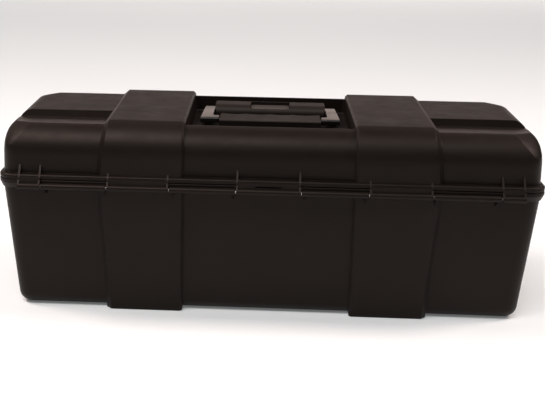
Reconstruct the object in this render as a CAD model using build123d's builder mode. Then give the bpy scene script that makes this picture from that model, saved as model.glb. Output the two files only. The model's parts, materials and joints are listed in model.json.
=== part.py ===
import math
import os
from build123d import *

os.makedirs("parts", exist_ok=True)

# ---------------------------------------------------------------- dimensions
# overall (mm); +X along the length, hinge side at +Y, latches at -Y, feet on Z = 0
RIM_X, RIM_Y, RIM_R = 330.0, 136.0, 20.0        # rim flange, half sizes and corner
BODY_BOTTOM_Z = 1.0                             # underside of the tub between the feet
BODY_FLOOR_Z = 4.5                              # inside floor
BODY_BOT_X, BODY_BOT_Y, BODY_BOT_R = 312.5, 120.0, 18.0
BODY_TOP_X, BODY_TOP_Y, BODY_TOP_R, BODY_TOP_Z = 327.2, 126.0, 16.0, 160.5
BODY_FLANGE_Z0, BODY_FLANGE_Z1, BODY_RIM_Z = 157.0, 164.0, 168.3
BODY_EDGE_R = 15.0
WALL = 3.2

LID_RIM_Z, LID_FLANGE_Z1 = 168.9, 175.0
LID_X0, LID_X1, LID_Y0 = 326.5, 325.4, 126.4    # lid walls at the rim and at the top
LID_ARC_Y, LID_ARC_Z, LID_ARC_R = 89.0, 196.3, 37.0
LID_TOP_Z = 232.0
LID_END_R, LID_CREASE_R = 18.0, 21.0
# corners of the lid open out towards the top: heights and plan radii
CORNERS = [(200.0, 17.5), (208.0, 26.0), (215.0, 39.0), (221.0, 55.0), (226.0, 72.5), (230.0, 92.5), (233.0, 116.0)]

# channel along both ends of the lid: a leaning riser and a floor that climbs to the shoulder
CHANNEL_X, CHANNEL_Y, CHANNEL_Z, CHANNEL_LEAN = 196.0, 22.3, 222.9, 0.36
CHANNEL_Y1, CHANNEL_Z1 = 100.0, 231.9

# raised bands
BAND_Z, BAND_Y0, BAND_ARC_R = 237.8, 132.4, 43.0
BAND_XI, BAND_XO0, BAND_XO1 = 103.5, 211.5, 203.5
BAND_CH_I, BAND_CH_O, BAND_CREASE_R = 2.6, 7.0, 12.0
BAND_MID = 150.5
FOOT_XI, FOOT_XO, FOOT_Y = 104.0, 199.0, 125.8
BODYBAND_XI, BODYBAND_XO, BODYBAND_Y, BODYBAND_Z = 103.5, 210.0, 132.1, 162.0

# handle well in the lid
WELL_X, WELL_Y0, WELL_Y1, WELL_Z = 103.5, -95.0, 94.0, 212.0

# hinge
HINGE_Y, HINGE_Z, BARREL_R = 139.9, 161.5, 3.8
PIN_R, BORE_R = 1.8, 1.86
PIN_HALF = 302.0
KNUCKLE_GAP = 0.4
LID_KNUCKLES = [(-304.6, -276.0), (-196.0, -120.0), (-39.4, 39.4), (120.0, 196.0), (276.0, 304.6)]
BODY_KNUCKLES = [(-276.0, -196.0), (-120.0, -39.4), (39.4, 120.0), (196.0, 276.0)]
FIN_T = 2.6

# handle
PIVOT_Y, PIVOT_Z = 9.5, 222.0
ARM_Z0, ARM_Z1 = 218.5, 226.0
ARM_XI, ARM_XO = 73.0, 87.0
GRIP_Y0, GRIP_Y1, GRIP_Z0, GRIP_Z1 = -74.0, -36.0, 217.5, 231.0
SEAT_X, SEAT_Y0, SEAT_Y1, SEAT_D = 52.0, -68.0, -39.0, 5.3     # seat of the inlay in the grip
GRIP_R, GRIP_NOSE_R = 5.2, 11.5
BLOCK_X, BLOCK_Y0, BLOCK_Y1, BLOCK_Z1 = 65.0, -12.0, 32.0, 226.0
PIVOT_R, PIVOT_BORE_R = 2.5, 2.56

# latches
LATCH_AXIS_Y, LATCH_AXIS_Z = -138.7, 197.0
LATCH_W, LATCH_T = 50.0, 5.0
LATCH_FRONT_Y = -143.7
LATCH_Z0 = 137.0
LATCH_PIN_R, LATCH_BORE_R = 1.6, 1.66

# tray
TRAY_Z0, TRAY_Z1 = 98.3, 156.0
TRAY_BX, TRAY_BY, TRAY_TX, TRAY_TY = 290.0, 102.0, 298.0, 108.0
TRAY_WALL = 2.4
SPINE_T, SPINE_Z = 2.8, 148.0
DIVIDER_X = 165.0
DIVIDER_T = 2.0
LEDGE_X, LEDGE_Y, LEDGE_Z0, LEDGE_Z1 = 278.0, 75.0, 91.0, 98.0


# half of the lid's cross-section: rim, foot of the shoulder arc, its middle, crease at the top
def crown(radius, top_z, rim_y, rim_z):
    rise = top_z - LID_ARC_Z
    crease_y = LID_ARC_Y + math.sqrt(radius ** 2 - rise ** 2)
    half = (math.atan2(crease_y - LID_ARC_Y, rise) + math.pi / 2) / 2
    middle = (LID_ARC_Y + radius * math.sin(half), LID_ARC_Z + radius * math.cos(half))
    return (rim_y, rim_z), (LID_ARC_Y + radius, LID_ARC_Z), middle, (crease_y, top_z)


# closed outline of that cross-section
def crown_outline(points):
    rim, foot, middle, top = points
    Line((-top[0], top[1]), top)
    ThreePointArc(top, middle, foot)
    Line(foot, rim)
    Line(rim, (-rim[0], rim[1]))
    Line((-rim[0], rim[1]), (-foot[0], foot[1]))
    ThreePointArc((-foot[0], foot[1]), (-middle[0], middle[1]), (-top[0], top[1]))


# ---------------------------------------------------------------- tub of the body
# band of the body: a drafted block from foot to rim with bevelled upright edges
with BuildPart() as body_band:
    with BuildSketch(Plane.XY):
        with Locations(((FOOT_XI + FOOT_XO) / 2, 0)):
            Rectangle(FOOT_XO - FOOT_XI, 2 * FOOT_Y)
    with BuildSketch(Plane.XY.offset(BODYBAND_Z)):
        with Locations(((BODYBAND_XI + BODYBAND_XO) / 2, 0)):
            Rectangle(BODYBAND_XO - BODYBAND_XI, 2 * BODYBAND_Y)
    loft(ruled=True)
    upright = body_band.edges().filter_by(lambda e: abs(e.tangent_at(0.5).Z) > 0.9)
    chamfer(upright.group_by(Axis.X)[0], BAND_CH_I)
    upright = body_band.edges().filter_by(lambda e: abs(e.tangent_at(0.5).Z) > 0.9)
    chamfer(upright.group_by(Axis.X)[-1], 6.0)
    fillet(body_band.edges().group_by(Axis.Z)[0], 1.6)

# hollow behind that band
with BuildPart() as body_band_hollow:
    with BuildSketch(Plane.XY.offset(7.0)):
        with Locations(((107.6 + 192.5) / 2, 0)):
            Rectangle(192.5 - 107.6, 2 * 122.6)
    with BuildSketch(Plane.XY.offset(153.0)):
        with Locations(((107.4 + 202.4) / 2, 0)):
            Rectangle(202.4 - 107.4, 2 * 128.3)
    loft(ruled=True)

# inside of the body
with BuildPart() as body_cavity:
    with BuildSketch(Plane.XY.offset(BODY_FLOOR_Z)):
        RectangleRounded(2 * (BODY_BOT_X + 0.4 - WALL), 2 * (BODY_BOT_Y + 0.1 - WALL), BODY_BOT_R - WALL)
    with BuildSketch(Plane.XY.offset(BODY_RIM_Z + 1.0)):
        RectangleRounded(2 * (BODY_TOP_X - WALL), 2 * (BODY_TOP_Y - WALL), BODY_TOP_R - WALL)
    loft(ruled=True)
    fillet(body_cavity.edges().group_by(Axis.Z)[0], 11.0)

with BuildPart() as body_shell:
    with BuildSketch(Plane.XY.offset(BODY_BOTTOM_Z)):
        RectangleRounded(2 * BODY_BOT_X, 2 * BODY_BOT_Y, BODY_BOT_R)
    with BuildSketch(Plane.XY.offset(BODY_TOP_Z)):
        RectangleRounded(2 * BODY_TOP_X, 2 * BODY_TOP_Y, BODY_TOP_R)
    loft(ruled=True)
    fillet(body_shell.edges().group_by(Axis.Z)[0], BODY_EDGE_R)
    add(body_band.part)
    mirror(body_band.part, about=Plane.YZ)
    # rim flange with a tapered underside
    with BuildSketch(Plane.XY.offset(BODY_FLANGE_Z0)):
        RectangleRounded(2 * (RIM_X - 2.4), 2 * (RIM_Y - 4.5), RIM_R - 2.4)
    with BuildSketch(Plane.XY.offset(BODY_FLANGE_Z1)):
        RectangleRounded(2 * RIM_X, 2 * RIM_Y, RIM_R)
    loft(ruled=True)
    with BuildSketch(Plane.XY.offset(BODY_FLANGE_Z1)):
        RectangleRounded(2 * RIM_X, 2 * RIM_Y, RIM_R)
    extrude(amount=BODY_RIM_Z - BODY_FLANGE_Z1)
    fillet(body_shell.edges().group_by(Axis.Z)[-1], 1.2)
    add(body_cavity.part, mode=Mode.SUBTRACT)
    add(body_band_hollow.part, mode=Mode.SUBTRACT)
    mirror(body_band_hollow.part, about=Plane.YZ, mode=Mode.SUBTRACT)
    # windows in the front flange behind the latches
    for side in (-1, 1):
        with Locations((side * BAND_MID, -141.3, 162.0)):
            Box(64, 18, 14, mode=Mode.SUBTRACT)
    # clearance for the lid's knuckles
    for x0, x1 in LID_KNUCKLES:
        with BuildSketch(Plane.YZ.offset(x0 - KNUCKLE_GAP)):
            with Locations((HINGE_Y, HINGE_Z)):
                Circle(BARREL_R + 0.5)
        extrude(amount=x1 - x0 + 2 * KNUCKLE_GAP, mode=Mode.SUBTRACT)
    # knuckles of the body
    for x0, x1 in BODY_KNUCKLES:
        with BuildSketch(Plane.YZ.offset(x0 + KNUCKLE_GAP)):
            with Locations((HINGE_Y, HINGE_Z)):
                Circle(BARREL_R)
            with BuildLine():
                Polyline((131.0, 160.5), (135.0, 158.0), (HINGE_Y, HINGE_Z - BARREL_R), (HINGE_Y, 164.5), (131.0, 164.5), close=True)
            make_face()
        extrude(amount=x1 - x0 - 2 * KNUCKLE_GAP)
        # small gussets below both ends
        for xs in (x0 + KNUCKLE_GAP + 2.0, x1 - KNUCKLE_GAP - 2.0 - FIN_T):
            root_y = 130.0 if BODYBAND_XI < abs(xs + FIN_T / 2) < BODYBAND_XO else 124.0
            with BuildSketch(Plane.YZ.offset(xs)):
                with BuildLine():
                    Polyline((root_y, 149.0), (root_y + 2.2, 149.0), (142.2, 158.6), (HINGE_Y, 160.2), (root_y, 160.2), close=True)
                make_face()
            extrude(amount=FIN_T)
    # bore for the pin
    with BuildSketch(Plane.YZ.offset(-PIN_HALF - 0.6)):
        with Locations((HINGE_Y, HINGE_Z)):
            Circle(BORE_R)
    extrude(amount=2 * PIN_HALF + 1.2, mode=Mode.SUBTRACT)
    # ledges for the tray at both ends, each on three ribs
    for side in (-1, 1):
        with Locations((side * (LEDGE_X + 319.5) / 2, 0, (LEDGE_Z0 + LEDGE_Z1) / 2)):
            Box(319.5 - LEDGE_X, 2 * LEDGE_Y, LEDGE_Z1 - LEDGE_Z0)
        for y in (-60.0, 0.0, 60.0):
            with BuildSketch(Plane.XZ.offset(-y - 1.5)):
                with BuildLine():
                    Polyline((side * 319.0, 93.0), (side * (LEDGE_X + 3), 93.0), (side * 312.5, 52.0), (side * 315.5, 52.0), close=True)
                make_face()
            extrude(amount=3.0)
    # keepers for the latches
    for side in (-1, 1):
        with BuildSketch(Plane.YZ.offset(side * BAND_MID - 17)):
            with BuildLine():
                Polyline((-129.8, 147.0), (-133.6, 148.6), (-134.3, 150.6), (-133.6, 152.2), (-129.8, 154.0), close=True)
            make_face()
        extrude(amount=34)
body_shell.part.label = "body_shell"
export_step(body_shell.part, "parts/body_shell.step")

# ---------------------------------------------------------------- lid
# raised band of the lid
with BuildPart() as lid_band:
    with BuildSketch(Plane.YZ.offset(BAND_XI)):
        with BuildLine():
            crown_outline(crown(BAND_ARC_R, BAND_Z, BAND_Y0, LID_RIM_Z + 3.0))
        make_face()
    extrude(amount=120.0)
    fillet(lid_band.edges().filter_by(Axis.X).group_by(Axis.Z)[-1], BAND_CREASE_R)
    lean = (BAND_XO1 - BAND_XO0) / (BAND_Z - LID_RIM_Z)
    with BuildSketch(Plane.XZ.offset(-200.0)):
        with BuildLine():
            Polyline((BAND_XI - 10, LID_RIM_Z - 10), (BAND_XO0 - 10 * lean, LID_RIM_Z - 10), (BAND_XO1 + 10 * lean, BAND_Z + 10), (BAND_XI - 10, BAND_Z + 10), close=True)
        make_face()
    extrude(amount=400.0, mode=Mode.INTERSECT)
    inner = lid_band.faces().sort_by(Axis.X)[0]
    chamfer(inner.edges().sort_by(Axis.Z)[1:], BAND_CH_I)
    outer = lid_band.faces().sort_by(Axis.X)[-1]
    chamfer(outer.edges().sort_by(Axis.Z)[1:], BAND_CH_O)

# hollow of that band
with BuildPart() as lid_band_hollow:
    with BuildSketch(Plane.YZ.offset(BAND_XI + 4.0)):
        with BuildLine():
            crown_outline(crown(BAND_ARC_R - WALL, BAND_Z - WALL, BAND_Y0 - WALL - 0.4, LID_RIM_Z + 12.0))
        make_face()
    extrude(amount=120.0)
    with BuildSketch(Plane.XZ.offset(-200.0)):
        with BuildLine():
            Polyline((BAND_XI, 160.0), (208.6, 160.0), (189.6, 245.0), (BAND_XI, 245.0), close=True)
        make_face()
    extrude(amount=400.0, mode=Mode.INTERSECT)

# block that gives the lid its opening corners, outside and inside
with BuildPart() as corner_block:
    for z, r in CORNERS:
        with BuildSketch(Plane.XY.offset(z)):
            RectangleRounded(2 * LID_X0 + 1.8, 2 * LID_Y0 + 0.2, r)
    loft()
    with BuildSketch(Plane.XY.offset(CORNERS[0][0] - 60.0)):
        Rectangle(2 * LID_X0 + 40.0, 2 * LID_Y0 + 40.0)
    extrude(amount=60.0)

with BuildPart() as corner_space:
    for z, r in CORNERS:
        with BuildSketch(Plane.XY.offset(z - 2.0)):
            RectangleRounded(2 * LID_X0 - 0.6, 2 * LID_Y0 - 4.2, r + 6.0)
    loft()
    with BuildSketch(Plane.XY.offset(CORNERS[0][0] - 62.0)):
        Rectangle(2 * LID_X0 + 40.0, 2 * LID_Y0 + 40.0)
    extrude(amount=60.0)

# inside of the lid
lid_lean = (LID_X1 - LID_X0) / (LID_TOP_Z - LID_RIM_Z)
with BuildPart() as lid_cavity:
    with BuildSketch(Plane.YZ.offset(-340.0)):
        with BuildLine():
            crown_outline(crown(LID_ARC_R - WALL, LID_TOP_Z - WALL, LID_Y0 - WALL, LID_RIM_Z - 1.0))
        make_face()
    extrude(amount=680.0)
    fillet(lid_cavity.edges().filter_by(Axis.X).group_by(Axis.Z)[-1], LID_CREASE_R - WALL)
    with BuildSketch(Plane.XZ.offset(-200.0)):
        with BuildLine():
            x0, x1 = LID_X0 - WALL - 10 * lid_lean, LID_X1 - WALL + 10 * lid_lean
            Polyline((-x0, LID_RIM_Z - 10), (x0, LID_RIM_Z - 10), (x1, LID_TOP_Z + 10), (-x1, LID_TOP_Z + 10), close=True)
        make_face()
    extrude(amount=400.0, mode=Mode.INTERSECT)
    fillet(lid_cavity.edges().filter_by(lambda e: abs(e.center().X) > 310 and e.center().Z > LID_RIM_Z), LID_END_R - WALL)
    add(corner_space.part, mode=Mode.INTERSECT)
    # stays below the channels
    back = CHANNEL_Y - 3.6 + 3.3 * CHANNEL_LEAN
    for side in (-1, 1):
        with BuildSketch(Plane.YZ.offset(side * (CHANNEL_X - 4.0))):
            with BuildLine():
                Polyline((back - (243.3 - CHANNEL_Z) * CHANNEL_LEAN, 240.0), (back, CHANNEL_Z - 3.3), (CHANNEL_Y + 3.4, CHANNEL_Z - 3.3),
                         (CHANNEL_Y1 + 1.0, CHANNEL_Z1 - 3.1), (CHANNEL_Y1 + 1.0, 240.0), close=True)
            make_face()
        extrude(amount=side * 160.0, mode=Mode.SUBTRACT)

# outside of the lid without its bands
with BuildPart() as lid_block:
    with BuildSketch(Plane.YZ.offset(-340.0)):
        with BuildLine():
            crown_outline(crown(LID_ARC_R, LID_TOP_Z, LID_Y0, LID_RIM_Z))
        make_face()
    extrude(amount=680.0)
    fillet(lid_block.edges().filter_by(Axis.X).group_by(Axis.Z)[-1], LID_CREASE_R)
    with BuildSketch(Plane.XZ.offset(-200.0)):
        with BuildLine():
            x0, x1 = LID_X0 - 10 * lid_lean, LID_X1 + 10 * lid_lean
            Polyline((-x0, LID_RIM_Z - 10), (x0, LID_RIM_Z - 10), (x1, LID_TOP_Z + 10), (-x1, LID_TOP_Z + 10), close=True)
        make_face()
    extrude(amount=400.0, mode=Mode.INTERSECT)
    fillet(lid_block.edges().filter_by(lambda e: abs(e.center().X) > 310 and e.center().Z > LID_RIM_Z + 1), LID_END_R)
    add(corner_block.part, mode=Mode.INTERSECT)
    corners = lid_block.faces().filter_by(lambda f: abs(f.center().X) > 295 and abs(f.center().Y) > 85 and f.center().Z > 212)
    fillet([e for f in corners for e in f.edges()], 5.0)
    # channels
    for side in (-1, 1):
        with BuildSketch(Plane.YZ.offset(side * CHANNEL_X)):
            with BuildLine():
                Polyline((CHANNEL_Y - (245.0 - CHANNEL_Z) * CHANNEL_LEAN, 245.0), (CHANNEL_Y, CHANNEL_Z), (CHANNEL_Y + 2.1, CHANNEL_Z),
                         (CHANNEL_Y1, CHANNEL_Z1), (CHANNEL_Y1, 245.0), close=True)
            make_face()
        extrude(amount=side * 160.0, mode=Mode.SUBTRACT)

# tub of the handle well, outside and inside
with BuildPart() as well_tub:
    with BuildSketch(Plane.XY.offset(WELL_Z - WALL)):
        with Locations((0, (WELL_Y0 + WELL_Y1) / 2)):
            Rectangle(2 * (WELL_X + WALL), WELL_Y1 - WELL_Y0 + 2 * WALL)
    extrude(amount=LID_TOP_Z - 1.0 - WELL_Z + WALL)

with BuildPart() as well_space:
    with BuildSketch(Plane.XY.offset(WELL_Z)):
        with Locations((0, (WELL_Y0 + WELL_Y1) / 2)):
            RectangleRounded(2 * WELL_X - 3.0, WELL_Y1 - WELL_Y0 - 3.0, 4.0)
    with BuildSketch(Plane.XY.offset(LID_TOP_Z + 0.5)):
        with Locations((0, (WELL_Y0 + WELL_Y1) / 2)):
            RectangleRounded(2 * WELL_X, WELL_Y1 - WELL_Y0, 4.0)
    loft(ruled=True)
    fillet(well_space.edges().group_by(Axis.Z)[0], 2.0)

with BuildPart() as lid_shell:
    add(lid_block.part)
    add(lid_band.part)
    mirror(lid_band.part, about=Plane.YZ)
    # rim flange
    with BuildSketch(Plane.XY.offset(LID_RIM_Z)):
        RectangleRounded(2 * RIM_X, 2 * RIM_Y, RIM_R)
    extrude(amount=LID_FLANGE_Z1 - LID_RIM_Z)
    fillet(lid_shell.edges().filter_by_position(Axis.Z, LID_FLANGE_Z1 - 0.01, LID_FLANGE_Z1 + 0.01).filter_by(
        lambda e: e.center().X ** 2 > 328 ** 2 or e.center().Y ** 2 > 134.5 ** 2 or (abs(e.center().X) > 318 and abs(e.center().Y) > 127)), 2.6)
    fillet(lid_shell.edges().group_by(Axis.Z)[0], 1.2)
    # inside
    add(lid_cavity.part, mode=Mode.SUBTRACT)
    add(lid_band_hollow.part, mode=Mode.SUBTRACT)
    mirror(lid_band_hollow.part, about=Plane.YZ, mode=Mode.SUBTRACT)
    # handle well
    add(well_tub.part)
    add(well_space.part, mode=Mode.SUBTRACT)
    # windows in the front flange behind the latches
    for side in (-1, 1):
        with Locations((side * BAND_MID, -141.7, 172.0)):
            Box(64, 18, 14, mode=Mode.SUBTRACT)
    # knuckles of the lid with a web up to the flange and a fin at each end
    for x0, x1 in LID_KNUCKLES:
        with BuildSketch(Plane.YZ.offset(x0 + KNUCKLE_GAP)):
            with Locations((HINGE_Y, HINGE_Z)):
                Circle(BARREL_R)
            with BuildLine():
                Polyline((136.6, HINGE_Z), (138.9, HINGE_Z), (138.9, 171.5), (134.0, 172.6), (134.0, 169.4), (136.6, 169.0), close=True)
            make_face()
        extrude(amount=x1 - x0 - 2 * KNUCKLE_GAP)
        for xs in (x0 + KNUCKLE_GAP, x1 - KNUCKLE_GAP - FIN_T):
            with BuildSketch(Plane.YZ.offset(xs)):
                with BuildLine():
                    Polyline((136.7, HINGE_Z + 1.0), (143.2, HINGE_Z + 2.0), (127.0, 185.3), (123.8, 185.3), (123.8, 171.0), (136.7, 169.0), close=True)
                make_face()
            extrude(amount=FIN_T)
    # bore for the pin
    with BuildSketch(Plane.YZ.offset(-PIN_HALF - 0.6)):
        with Locations((HINGE_Y, HINGE_Z)):
            Circle(BORE_R)
    extrude(amount=2 * PIN_HALF + 1.2, mode=Mode.SUBTRACT)
    # slot in the middle knuckle's web
    with Locations((0, 139.0, 167.6)):
        Box(31.0, 9.0, 1.8, mode=Mode.SUBTRACT)
    # lugs that carry the latch pins
    for side in (-1, 1):
        for e in (-1, 1):
            xs = side * BAND_MID + e * (LATCH_W / 2 + 3.4) - 2.5
            with BuildSketch(Plane.YZ.offset(xs)):
                with Locations((LATCH_AXIS_Y, LATCH_AXIS_Z)):
                    Circle(4.4)
                with BuildLine():
                    Polyline((LATCH_AXIS_Y, LATCH_AXIS_Z - 4.4), (LATCH_AXIS_Y, LATCH_AXIS_Z + 4.4), (-130.2, LATCH_AXIS_Z + 9.0), (-130.2, LATCH_AXIS_Z - 9.0), close=True)
                make_face()
            extrude(amount=5.0)
        with BuildSketch(Plane.YZ.offset(side * BAND_MID - 40)):
            with Locations((LATCH_AXIS_Y, LATCH_AXIS_Z)):
                Circle(LATCH_BORE_R)
        extrude(amount=80, mode=Mode.SUBTRACT)
    # screw holes in the floor of the well
    with Locations(*[(sx * 48.0, yy, WELL_Z) for sx in (-1, 1) for yy in (0.0, 22.0)]):
        Cylinder(2.1, 20, mode=Mode.SUBTRACT)
lid_shell.part.label = "lid_shell"
export_step(lid_shell.part, "parts/lid_shell.step")

# ---------------------------------------------------------------- hinge pin
with BuildPart() as hinge_pin:
    with BuildSketch(Plane.YZ.offset(-PIN_HALF)):
        with Locations((HINGE_Y, HINGE_Z)):
            Circle(PIN_R)
    extrude(amount=2 * PIN_HALF)
    chamfer(hinge_pin.edges(), 0.4)
hinge_pin.part.label = "hinge_pin"
export_step(hinge_pin.part, "parts/hinge_pin.step")

# ---------------------------------------------------------------- carrying handle
with BuildPart() as handle_mount_block:
    with BuildSketch(Plane.XY.offset(WELL_Z)):
        with BuildLine():
            n = 4
            step = 2 * (BLOCK_X - 5) / n
            xs = [-(BLOCK_X - 5) + i * step for i in range(n + 1)]
            Line((-BLOCK_X, BLOCK_Y1), (BLOCK_X, BLOCK_Y1))
            Line((BLOCK_X, BLOCK_Y1), (BLOCK_X, BLOCK_Y0))
            Line((BLOCK_X, BLOCK_Y0), (xs[-1], BLOCK_Y0))
            for a, b in zip(xs[:-1], xs[1:]):
                ThreePointArc((b, BLOCK_Y0), ((a + b) / 2, BLOCK_Y0 + 4.2), (a, BLOCK_Y0))
            Line((xs[0], BLOCK_Y0), (-BLOCK_X, BLOCK_Y0))
            Line((-BLOCK_X, BLOCK_Y0), (-BLOCK_X, BLOCK_Y1))
        make_face()
    extrude(amount=BLOCK_Z1 - WELL_Z)
    chamfer(handle_mount_block.edges().group_by(Axis.Z)[-1], 0.9)
    # bores for the pivot pins
    for side in (-1, 1):
        with BuildSketch(Plane.YZ.offset(side * 58.5 - 8.5)):
            with Locations((PIVOT_Y, PIVOT_Z - 0.0)):
                Circle(PIVOT_R)
        extrude(amount=17.0, mode=Mode.SUBTRACT)
    # screw holes from below
    with Locations(*[(sx * 48.0 * 1.0, yy, WELL_Z) for sx in (-1, 1) for yy in (0.0, 22.0)]):
        Cylinder(1.7, 14, mode=Mode.SUBTRACT)
handle_mount_block.part.label = "handle_mount_block"
export_step(handle_mount_block.part, "parts/handle_mount_block.step")

with BuildPart() as handle_mount_screws:
    for sx in (-1, 1):
        for yy in (0.0, 22.0):
            with Locations((sx * 48.0, yy, WELL_Z - WALL)):
                Cylinder(1.68, 9.0, align=(Align.CENTER, Align.CENTER, Align.MIN))
                Cylinder(3.8, 2.2, align=(Align.CENTER, Align.CENTER, Align.MAX))
    heads = handle_mount_screws.edges().group_by(Axis.Z)[0]
    fillet(heads, 0.9)
    for sx in (-1, 1):
        for yy in (0.0, 22.0):
            with Locations((sx * 48.0, yy, WELL_Z - WALL - 2.2)):
                Box(4.0, 0.9, 2.0, mode=Mode.SUBTRACT)
                Box(0.9, 4.0, 2.0, mode=Mode.SUBTRACT)
handle_mount_screws.part.label = "handle_mount_screws"
export_step(handle_mount_screws.part, "parts/handle_mount_screws.step")

# arm: flat L-shaped lever with an inward foot at the pivot end
with BuildPart() as handle_arm_right:
    with BuildSketch(Plane.XY.offset(ARM_Z0)):
        with BuildLine():
            Polyline((66.2, 17.0), (90.0, 17.0), (ARM_XO, -57.0), (ARM_XI, -57.0), (74.2, -2.5), (72.8, 1.6), (66.2, 1.6), close=True)
        make_face()
    extrude(amount=ARM_Z1 - ARM_Z0)
    # rounded heel around the pivot
    fillet(handle_arm_right.edges().filter_by(lambda e: abs(e.center().Y - 17.0) < 0.05 and abs(e.tangent_at(0.5).X) > 0.9), 2.6)
    fillet(handle_arm_right.edges().filter_by(Axis.Z).filter_by(lambda e: abs(e.center().Y + 57.0) < 0.05), 1.5)
    fillet(handle_arm_right.edges().group_by(Axis.Z)[-1], 0.6)
    with BuildSketch(Plane.YZ.offset(60.0)):
        with Locations((PIVOT_Y, PIVOT_Z)):
            Circle(PIVOT_BORE_R)
    extrude(amount=27.0, mode=Mode.SUBTRACT)
    # seat for the screw into the grip
    with BuildSketch(Plane.YZ.offset(60.0)):
        with Locations((-50.0, PIVOT_Z)):
            Circle(1.8)
    extrude(amount=40.0, mode=Mode.SUBTRACT)
    with BuildSketch(Plane.YZ.offset(84.0)):
        with Locations((-50.0, PIVOT_Z)):
            Circle(3.0)
    extrude(amount=10.0, mode=Mode.SUBTRACT)
handle_arm_right.part.label = "handle_arm_right"
export_step(handle_arm_right.part, "parts/handle_arm_right.step")

with BuildPart() as handle_arm_left:
    mirror(handle_arm_right.part, about=Plane.YZ)
handle_arm_left.part.label = "handle_arm_left"
export_step(handle_arm_left.part, "parts/handle_arm_left.step")

with BuildPart() as handle_pivot_pin_right:
    with BuildSketch(Plane.YZ.offset(50.5)):
        with Locations((PIVOT_Y, PIVOT_Z)):
            Circle(PIVOT_R)
    extrude(amount=36.0)
    chamfer(handle_pivot_pin_right.edges(), 0.4)
handle_pivot_pin_right.part.label = "handle_pivot_pin_right"
export_step(handle_pivot_pin_right.part, "parts/handle_pivot_pin_right.step")

with BuildPart() as handle_pivot_pin_left:
    mirror(handle_pivot_pin_right.part, about=Plane.YZ)
handle_pivot_pin_left.part.label = "handle_pivot_pin_left"
export_step(handle_pivot_pin_left.part, "parts/handle_pivot_pin_left.step")

# grip: bar with a rounded nose towards the hinge and a seat for the inlay
with BuildPart() as handle_grip:
    with Locations((0, (GRIP_Y0 + GRIP_Y1) / 2, (GRIP_Z0 + GRIP_Z1) / 2)):
        Box(2 * ARM_XI, GRIP_Y1 - GRIP_Y0, GRIP_Z1 - GRIP_Z0)
    fillet(handle_grip.edges().filter_by(Axis.X).filter_by(lambda e: e.center().Y < GRIP_Y0 + 0.1), GRIP_R)
    fillet(handle_grip.edges().filter_by(Axis.X).filter_by(lambda e: e.center().Y > GRIP_Y1 - 0.1 and e.center().Z > GRIP_Z1 - 0.1), GRIP_NOSE_R)
    fillet(handle_grip.edges().filter_by(Axis.X).filter_by(lambda e: e.center().Y > GRIP_Y1 - 0.1 and e.center().Z < GRIP_Z0 + 0.1), 1.6)
    fillet(handle_grip.edges().filter_by_position(Axis.X, -ARM_XI - 0.01, -ARM_XI + 0.01), 1.2)
    fillet(handle_grip.edges().filter_by_position(Axis.X, ARM_XI - 0.01, ARM_XI + 0.01), 1.2)
    with Locations((0, (SEAT_Y0 + SEAT_Y1) / 2, GRIP_Z1)):
        Box(SEAT_X, SEAT_Y1 - SEAT_Y0, 2 * SEAT_D, mode=Mode.SUBTRACT)
    for side in (-1, 1):
        with BuildSketch(Plane.YZ.offset(side * (ARM_XI - 7) - 7.0)):
            with Locations((-50.0, PIVOT_Z)):
                Circle(1.4)
        extrude(amount=14.0, mode=Mode.SUBTRACT)
handle_grip.part.label = "handle_grip"
export_step(handle_grip.part, "parts/handle_grip.step")

with BuildPart() as grip_plate:
    with BuildSketch(Plane.XY.offset(GRIP_Z1 - SEAT_D)):
        with Locations((0, (SEAT_Y0 + SEAT_Y1) / 2)):
            RectangleRounded(SEAT_X - 1.0, SEAT_Y1 - SEAT_Y0 - 1.0, 1.0)
    extrude(amount=1.1)
    chamfer(grip_plate.edges().group_by(Axis.Z)[-1], 0.3)
grip_plate.part.label = "grip_plate"
export_step(grip_plate.part, "parts/grip_plate.step")

with BuildPart() as handle_arm_screws:
    for side in (-1, 1):
        with BuildSketch(Plane.YZ.offset(side * 84.0)):
            with Locations((-50.0, PIVOT_Z)):
                Circle(2.8)
        extrude(amount=side * 1.8)
        with BuildSketch(Plane.YZ.offset(side * 84.0)):
            with Locations((-50.0, PIVOT_Z)):
                Circle(1.38)
        extrude(amount=-side * 20.0)
handle_arm_screws.part.label = "handle_arm_screws"
export_step(handle_arm_screws.part, "parts/handle_arm_screws.step")

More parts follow.
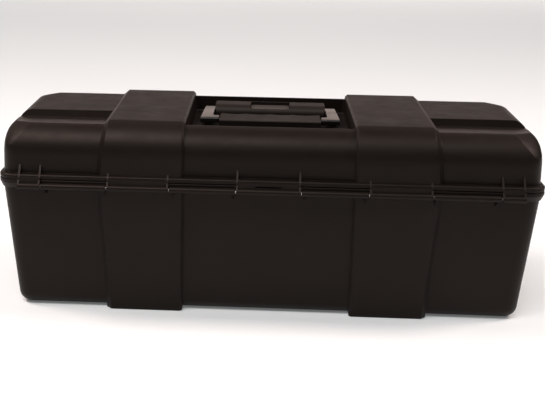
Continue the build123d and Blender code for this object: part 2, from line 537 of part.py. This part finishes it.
# ---------------------------------------------------------------- latches
with BuildPart() as latch_right:
    with BuildSketch(Plane.YZ.offset(BAND_MID - LATCH_W / 2)):
        with BuildLine():
            Polyline((LATCH_FRONT_Y, LATCH_Z0), (LATCH_FRONT_Y, LATCH_AXIS_Z + 1.0), (LATCH_AXIS_Y, LATCH_AXIS_Z + 4.4),
                     (LATCH_AXIS_Y, LATCH_Z0), close=True)
        make_face()
        with Locations((LATCH_AXIS_Y, LATCH_AXIS_Z)):
            Circle(4.4)
    extrude(amount=LATCH_W)
    fillet(latch_right.edges().filter_by(Axis.X).filter_by(lambda e: abs(e.center().Y - LATCH_FRONT_Y) < 0.05), 2.0)
    # side cheeks
    for xs in (BAND_MID - LATCH_W / 2, BAND_MID + LATCH_W / 2 - 3.0):
        with BuildSketch(Plane.YZ.offset(xs)):
            with BuildLine():
                Polyline((LATCH_AXIS_Y - 1, LATCH_AXIS_Z - 2.0), (LATCH_AXIS_Y - 1, LATCH_Z0 + 2), (-135.6, LATCH_Z0 + 2), (-133.2, LATCH_Z0 + 8), (-133.2, 184.0), (-136.0, LATCH_AXIS_Z - 4.0), close=True)
            make_face()
        extrude(amount=3.0)
    # snap bar that rides over the keeper
    with BuildSketch(Plane.YZ.offset(BAND_MID - 16)):
        with BuildLine():
            Polyline((LATCH_AXIS_Y - 1, 139.5), (LATCH_AXIS_Y - 1, 146.5), (-135.6, 145.4), (-135.0, 143.4), (-135.6, 141.0), close=True)
        make_face()
    extrude(amount=32)
    # thumb hollow at the foot and a raised rib pattern above it
    with Locations((BAND_MID, LATCH_FRONT_Y - 16.4, LATCH_Z0 + 5.0)):
        Cylinder(18.0, 34.0, rotation=(0, 90, 0), mode=Mode.SUBTRACT)
    with BuildSketch(Plane.YZ.offset(BAND_MID - 40)):
        with Locations((LATCH_AXIS_Y, LATCH_AXIS_Z)):
            Circle(LATCH_BORE_R)
    extrude(amount=80, mode=Mode.SUBTRACT)
latch_right.part.label = "latch_right"
export_step(latch_right.part, "parts/latch_right.step")

with BuildPart() as latch_left:
    mirror(latch_right.part, about=Plane.YZ)
latch_left.part.label = "latch_left"
export_step(latch_left.part, "parts/latch_left.step")

with BuildPart() as latch_pin_right:
    with BuildSketch(Plane.YZ.offset(BAND_MID - 31.0)):
        with Locations((LATCH_AXIS_Y, LATCH_AXIS_Z)):
            Circle(LATCH_PIN_R)
    extrude(amount=62.0)
    chamfer(latch_pin_right.edges(), 0.3)
latch_pin_right.part.label = "latch_pin_right"
export_step(latch_pin_right.part, "parts/latch_pin_right.step")

with BuildPart() as latch_pin_left:
    mirror(latch_pin_right.part, about=Plane.YZ)
latch_pin_left.part.label = "latch_pin_left"
export_step(latch_pin_left.part, "parts/latch_pin_left.step")

# ---------------------------------------------------------------- tray
with BuildPart() as tray_space:
    with BuildSketch(Plane.XY.offset(TRAY_Z0 + TRAY_WALL)):
        RectangleRounded(2 * (TRAY_BX - TRAY_WALL), 2 * (TRAY_BY - TRAY_WALL), 14.0)
    with BuildSketch(Plane.XY.offset(TRAY_Z1 + 0.5)):
        RectangleRounded(2 * (TRAY_TX - TRAY_WALL), 2 * (TRAY_TY - TRAY_WALL), 16.0)
    loft(ruled=True)
    fillet(tray_space.edges().group_by(Axis.Z)[0], 3.0)

with BuildPart() as tray_shell:
    with BuildSketch(Plane.XY.offset(TRAY_Z0)):
        RectangleRounded(2 * TRAY_BX, 2 * TRAY_BY, 16.0)
    with BuildSketch(Plane.XY.offset(TRAY_Z1)):
        RectangleRounded(2 * TRAY_TX, 2 * TRAY_TY, 18.0)
    loft(ruled=True)
    fillet(tray_shell.edges().group_by(Axis.Z)[0], 4.0)
    with BuildSketch(Plane.XY.offset(TRAY_Z1 - 3.0)):
        RectangleRounded(2 * (TRAY_TX + 4.0), 2 * (TRAY_TY + 4.0), 20.0)
    extrude(amount=3.0)
    fillet(tray_shell.edges().group_by(Axis.Z)[-1], 1.0)
    add(tray_space.part, mode=Mode.SUBTRACT)
    # spine along the middle
    with Locations((0, 0, (TRAY_Z0 + 1 + SPINE_Z) / 2)):
        Box(2 * (TRAY_BX - 0.5), SPINE_T, SPINE_Z - TRAY_Z0 - 1)
    # finger window below the carrying grip
    with BuildSketch(Plane.XZ.offset(-5)):
        with Locations((0, 127.0)):
            RectangleRounded(104.0, 26.0, 8.0)
    extrude(amount=10.0, mode=Mode.SUBTRACT)
    # guide ribs for the dividers
    for sx in (-1, 1):
        for sy in (-1, 1):
            for e in (-1, 1):
                xr = sx * DIVIDER_X + e * (DIVIDER_T / 2 + 0.25 + 0.8)
                with BuildSketch(Plane.YZ.offset(xr - 0.8)):
                    with BuildLine():
                        Polyline((sy * 1.0, TRAY_Z0 + 1), (sy * 4.6, TRAY_Z0 + 1), (sy * 4.6, 144.0), (sy * 1.0, 147.0), close=True)
                    make_face()
                    with BuildLine():
                        Polyline((sy * 101.0, TRAY_Z0 + 1), (sy * 96.4, TRAY_Z0 + 1), (sy * 101.2, 144.0), (sy * 106.0, 147.0), close=True)
                    make_face()
                extrude(amount=1.6)
tray_shell.part.label = "tray_shell"
export_step(tray_shell.part, "parts/tray_shell.step")

with BuildPart() as tray_handle:
    with BuildSketch(Plane.YZ.offset(-68.0)):
        with Locations((0, 150.5)):
            RectangleRounded(20.0, 19.0, 6.0)
    extrude(amount=136.0)
    fillet(tray_handle.edges().filter_by_position(Axis.X, -68.01, -67.99), 2.0)
    fillet(tray_handle.edges().filter_by_position(Axis.X, 67.99, 68.01), 2.0)
    with Locations((0, 0, SPINE_Z - 10.0)):
        Box(160.0, SPINE_T, 20.0, mode=Mode.SUBTRACT)
tray_handle.part.label = "tray_handle"
export_step(tray_handle.part, "parts/tray_handle.step")

DIVIDERS = [("front_left", -1, -1), ("front_right", 1, -1), ("rear_left", -1, 1), ("rear_right", 1, 1)]
for where, sx, sy in DIVIDERS:
    with BuildPart() as divider:
        with BuildSketch(Plane.YZ.offset(sx * DIVIDER_X - DIVIDER_T / 2)):
            with BuildLine():
                Polyline((sy * 1.7, TRAY_Z0 + TRAY_WALL + 0.1), (sy * 95.8, TRAY_Z0 + TRAY_WALL + 0.1), (sy * 98.6, TRAY_Z0 + TRAY_WALL + 3.4),
                         (sy * 103.8, 146.0), (sy * 1.7, 146.0), close=True)
            make_face()
        extrude(amount=DIVIDER_T)
    divider.part.label = "tray_divider_" + where
    export_step(divider.part, "parts/tray_divider_" + where + ".step")
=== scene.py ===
import bpy
import json
import math
from mathutils import Matrix, Vector

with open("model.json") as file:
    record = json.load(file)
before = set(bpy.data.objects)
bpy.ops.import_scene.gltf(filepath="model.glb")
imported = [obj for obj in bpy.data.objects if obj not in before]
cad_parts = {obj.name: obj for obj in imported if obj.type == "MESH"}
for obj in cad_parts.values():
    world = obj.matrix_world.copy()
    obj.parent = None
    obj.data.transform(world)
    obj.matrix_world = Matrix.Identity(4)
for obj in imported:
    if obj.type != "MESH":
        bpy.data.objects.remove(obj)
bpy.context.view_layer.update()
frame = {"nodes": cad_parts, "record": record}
nodes = frame["nodes"]
scene = bpy.context.scene
scene.view_settings.view_transform = "Standard"
scene.view_settings.look = "None"


# ------------------------------------------------------------------ node helpers
class Mat:
    """A material with its shader and short ways to add nodes."""

    def __init__(self, name):
        self.mat = bpy.data.materials.new(name)
        self.mat.use_nodes = True
        self.tree = self.mat.node_tree
        self.bsdf = next(n for n in self.tree.nodes if n.type == "BSDF_PRINCIPLED")

    def add(self, kind, **settings):
        n = self.tree.nodes.new(kind)
        for k, v in settings.items():
            setattr(n, k, v)
        return n

    def link(self, a, b):
        self.tree.links.new(a, b)

    def coords(self):
        return self.add("ShaderNodeTexCoord").outputs["Object"]

    def stretch(self, vector, scale, rotation=(0, 0, 0)):
        m = self.add("ShaderNodeMapping")
        self.link(vector, m.inputs["Vector"])
        m.inputs["Scale"].default_value = scale
        m.inputs["Rotation"].default_value = rotation
        return m.outputs["Vector"]

    def noise(self, vector, scale, detail=2.0, rough=0.5, distortion=0.0):
        n = self.add("ShaderNodeTexNoise")
        self.link(vector, n.inputs["Vector"])
        n.inputs["Scale"].default_value = scale
        n.inputs["Detail"].default_value = detail
        n.inputs["Roughness"].default_value = rough
        n.inputs["Distortion"].default_value = distortion
        return n.outputs["Fac"]

    def voronoi(self, vector, scale, feature="F1"):
        n = self.add("ShaderNodeTexVoronoi", feature=feature)
        self.link(vector, n.inputs["Vector"])
        n.inputs["Scale"].default_value = scale
        return n.outputs["Distance"]

    def ramp(self, fac, stops):
        n = self.add("ShaderNodeValToRGB")
        e = n.color_ramp.elements
        e[0].position, e[0].color = stops[0][0], (*stops[0][1], 1)
        e[1].position, e[1].color = stops[-1][0], (*stops[-1][1], 1)
        for p, c in stops[1:-1]:
            e.new(p).color = (*c, 1)
        self.link(fac, n.inputs["Fac"])
        return n.outputs["Color"]

    def span(self, value, a, b, lo, hi):
        n = self.add("ShaderNodeMapRange")
        self.link(value, n.inputs["Value"])
        n.inputs["From Min"].default_value = a
        n.inputs["From Max"].default_value = b
        n.inputs["To Min"].default_value = lo
        n.inputs["To Max"].default_value = hi
        return n.outputs["Result"]

    def math(self, op, a, b):
        n = self.add("ShaderNodeMath", operation=op)
        for i, v in enumerate((a, b)):
            if isinstance(v, (int, float)):
                n.inputs[i].default_value = v
            else:
                self.link(v, n.inputs[i])
        return n.outputs[0]

    def mix(self, fac, a, b):
        n = self.add("ShaderNodeMix", data_type="RGBA")
        for sock, v in zip((n.inputs[0], n.inputs[6], n.inputs[7]), (fac, a, b)):
            if isinstance(v, (int, float)):
                sock.default_value = v
            elif isinstance(v, tuple):
                sock.default_value = (*v, 1)
            else:
                self.link(v, sock)
        return n.outputs[2]

    def edges(self, radius):
        """1 on convex and concave edges, 0 on flats, and the softened normal."""
        b = self.add("ShaderNodeBevel", samples=6)
        b.inputs["Radius"].default_value = radius
        g = self.add("ShaderNodeNewGeometry")
        d = self.add("ShaderNodeVectorMath", operation="DOT_PRODUCT")
        self.link(b.outputs["Normal"], d.inputs[0])
        self.link(g.outputs["Normal"], d.inputs[1])
        return self.span(d.outputs["Value"], 0.995, 0.86, 0.0, 1.0), b.outputs["Normal"]

    def bump(self, height, strength, distance, normal=None):
        n = self.add("ShaderNodeBump")
        n.inputs["Strength"].default_value = strength
        n.inputs["Distance"].default_value = distance
        self.link(height, n.inputs["Height"])
        if normal is not None:
            self.link(normal, n.inputs["Normal"])
        return n.outputs["Normal"]


def plastic(name, dark, light, worn, rough, specular, grain=2600.0, grain_depth=0.00006, tint=(1, 1, 1), edge=0.0008, wear=0.55):
    """Moulded plastic: spark-eroded grain, slow colour drift, handling marks and paler rubbed edges."""
    m = Mat(name)
    c = m.coords()
    drift = m.noise(c, 7.0, 4.0, 0.55)
    cloud = m.noise(c, 38.0, 5.0, 0.6)
    colour = m.ramp(drift, [(0.32, dark), (0.68, light)])
    rub, soft = m.edges(edge)
    broken = m.span(m.noise(c, 190.0, 4.0, 0.65), 0.42, 0.66, 0.0, wear)
    rub = m.math("MULTIPLY", rub, broken)
    colour = m.mix(rub, colour, worn)
    # faint scuffs that run along the piece
    scuff = m.noise(m.stretch(c, (14.0, 160.0, 160.0), (0.0, 0.12, 0.2)), 6.0, 5.0, 0.7)
    scuff = m.span(scuff, 0.60, 0.78, 0.0, 0.35)
    colour = m.mix(scuff, colour, worn)
    m.link(colour, m.bsdf.inputs["Base Color"])
    r = m.span(cloud, 0.3, 0.7, rough - 0.045, rough + 0.045)
    r = m.math("ADD", r, m.math("MULTIPLY", scuff, 0.10))
    m.link(r, m.bsdf.inputs["Roughness"])
    m.bsdf.inputs["Specular IOR Level"].default_value = specular
    m.bsdf.inputs["Specular Tint"].default_value = (*tint, 1)
    fine = m.noise(c, grain, 2.0, 0.6)
    n = m.bump(fine, 0.5, grain_depth, soft)
    # very slight waviness left by the mould and by cooling
    wave = m.noise(c, 16.0, 2.0, 0.4)
    n = m.bump(wave, 0.35, 0.0006, n)
    m.link(n, m.bsdf.inputs["Normal"])
    return m.mat


def steel(name, colour, rough):
    """Drawn and zinc-plated wire: fine lines along the length, dull patches."""
    m = Mat(name)
    c = m.coords()
    lines = m.noise(m.stretch(c, (30.0, 3000.0, 3000.0)), 1.0, 3.0, 0.6)
    patch = m.noise(c, 220.0, 4.0, 0.6)
    m.link(m.ramp(patch, [(0.3, tuple(v * 0.75 for v in colour)), (0.7, colour)]), m.bsdf.inputs["Base Color"])
    m.bsdf.inputs["Metallic"].default_value = 1.0
    m.link(m.span(lines, 0.3, 0.7, rough - 0.08, rough + 0.1), m.bsdf.inputs["Roughness"])
    m.link(m.bump(lines, 0.3, 0.00003), m.bsdf.inputs["Normal"])
    return m.mat


# ------------------------------------------------------------------ materials
SHELL = plastic("shell", (0.0054, 0.0041, 0.0034), (0.0068, 0.0052, 0.0043), (0.017, 0.0142, 0.0125), 0.46, 0.175, tint=(1.0, 0.86, 0.80), wear=0.30)
GRIP = plastic("grip", (0.0070, 0.0058, 0.0052), (0.0088, 0.0074, 0.0066), (0.020, 0.0172, 0.0155), 0.50, 0.215, tint=(1.0, 0.90, 0.85), wear=0.35)
PLATE = plastic("plate", (0.050, 0.0445, 0.041), (0.058, 0.052, 0.048), (0.095, 0.089, 0.083), 0.42, 0.5)
GLOSS = plastic("gloss", (0.0080, 0.0070, 0.0064), (0.0100, 0.0088, 0.0080), (0.040, 0.036, 0.033), 0.17, 0.30, grain=900.0, grain_depth=0.00001)
TRAY = plastic("tray", (0.022, 0.020, 0.019), (0.028, 0.0255, 0.024), (0.060, 0.056, 0.052), 0.48, 0.5)
STEEL = steel("steel", (0.58, 0.57, 0.55), 0.32)
BLACKED = steel("blacked_steel", (0.060, 0.056, 0.052), 0.42)

by_slot = {"shell": SHELL, "grip": GRIP, "plate": PLATE, "gloss": GLOSS, "tray": TRAY, "steel": STEEL}
for part in frame["record"]["subparts"]:
    obj = nodes[part["node"]]
    for s in obj.material_slots:
        s.material = by_slot[part["material_slot"]]
# the pins that the handle turns on are blackened
for name in ("handle_pivot_pin_left", "handle_pivot_pin_right"):
    for s in nodes[name].material_slots:
        s.material = BLACKED

# ------------------------------------------------------------------ floor
bpy.ops.mesh.primitive_plane_add(size=80.0, location=(0, 0, -0.0002))
floor = bpy.context.object
floor.name = "floor"
fm = Mat("floor")
fc = fm.coords()
fm.link(fm.ramp(fm.noise(fc, 1.2, 3.0), [(0.3, (0.82, 0.90, 0.935)), (0.7, (0.84, 0.92, 0.955))]), fm.bsdf.inputs["Base Color"])
fm.bsdf.inputs["Roughness"].default_value = 0.7
fm.bsdf.inputs["Emission Color"].default_value = (0.97, 0.99, 1.0, 1)
fm.bsdf.inputs["Emission Strength"].default_value = 0.12
floor.data.materials.append(fm.mat)

# ------------------------------------------------------------------ light
world = bpy.data.worlds.new("studio")
scene.world = world
world.use_nodes = True
wt = world.node_tree
for n in list(wt.nodes):
    wt.nodes.remove(n)
out = wt.nodes.new("ShaderNodeOutputWorld")
path = wt.nodes.new("ShaderNodeLightPath")
fill = wt.nodes.new("ShaderNodeBackground")
fill.inputs["Color"].default_value = (1.0, 0.92, 0.87, 1)
fill.inputs["Strength"].default_value = 0.05
seen = wt.nodes.new("ShaderNodeBackground")
seen.inputs["Color"].default_value = (1, 1, 1, 1)
seen.inputs["Strength"].default_value = 1.0
mixs = wt.nodes.new("ShaderNodeMixShader")
wt.links.new(path.outputs["Is Camera Ray"], mixs.inputs["Fac"])
wt.links.new(fill.outputs[0], mixs.inputs[1])
wt.links.new(seen.outputs[0], mixs.inputs[2])
wt.links.new(mixs.outputs[0], out.inputs["Surface"])

WARM = (1.0, 0.80, 0.73)
PALE = (1.0, 0.975, 0.955)


def softbox(name, place, aim, size, watts, colour=WARM):
    data = bpy.data.lights.new(name, "AREA")
    data.shape = "RECTANGLE"
    data.size, data.size_y = size
    data.energy = watts
    data.color = colour
    o = bpy.data.objects.new(name, data)
    o.location = place
    o.rotation_mode = "QUATERNION"
    o.rotation_quaternion = (Vector(aim) - Vector(place)).to_track_quat("-Z", "Y")
    o.visible_camera = False
    scene.collection.objects.link(o)
    return o



def polar(azimuth, elevation, distance):
    """Place seen from the object's middle; azimuth from +Y towards +X, in degrees."""
    a, e = math.radians(azimuth), math.radians(elevation)
    return (distance * math.cos(e) * math.sin(a), distance * math.cos(e) * math.cos(a), 0.15 + distance * math.sin(e))


MIDDLE = (0, 0, 0.15)
softbox("back_low", (1.5, -4.1, 0.64), (1.5, 0, 0.36), (7.4, 1.28), 28.5)
softbox("back_high", polar(180, 50, 2.8), MIDDLE, (4.0, 0.9), 11.5)
softbox("front_left", polar(46, 52, 1.6), (0.10, 0, 0.15), (0.7, 0.5), 7.5)
softbox("left", polar(95, 45, 2.3), MIDDLE, (0.6, 0.6), 25.0)
softbox("right", polar(-95, 45, 2.3), MIDDLE, (0.6, 0.6), 28.0)

sun_data = bpy.data.lights.new("key", "SUN")
sun_data.energy = 1.25
sun_data.angle = math.radians(30)
sun_data.color = PALE
sun = bpy.data.objects.new("key", sun_data)
sun.rotation_mode = "QUATERNION"
sun.rotation_quaternion = (Vector(MIDDLE) - Vector(polar(13, 62, 1.0))).to_track_quat("-Z", "Y")
scene.collection.objects.link(sun)

# ------------------------------------------------------------------ camera
cam_data = bpy.data.cameras.new("camera")
cam = bpy.data.objects.new("camera", cam_data)
scene.collection.objects.link(cam)
right = Vector((-0.99797, -0.06270, 0.01124)).normalized()
up = Vector((0.02813, -0.27544, 0.96090))
up = (up - right * up.dot(right)).normalized()
back = right.cross(up)
m = Matrix.Identity(4)
for i in range(3):
    m[i][0], m[i][1], m[i][2] = right[i], up[i], back[i]
m.translation = Vector((0.00777, 1.40052, 0.52088))
cam.matrix_world = m
cam_data.sensor_width = 36.0
cam_data.lens = 1092.83 / 545.0 * 36.0
cam_data.shift_x = (272.5 - 199.27) / 545.0
cam_data.shift_y = (194.34 - 204.5) / 545.0
cam_data.dof.use_dof = False
scene.camera = cam
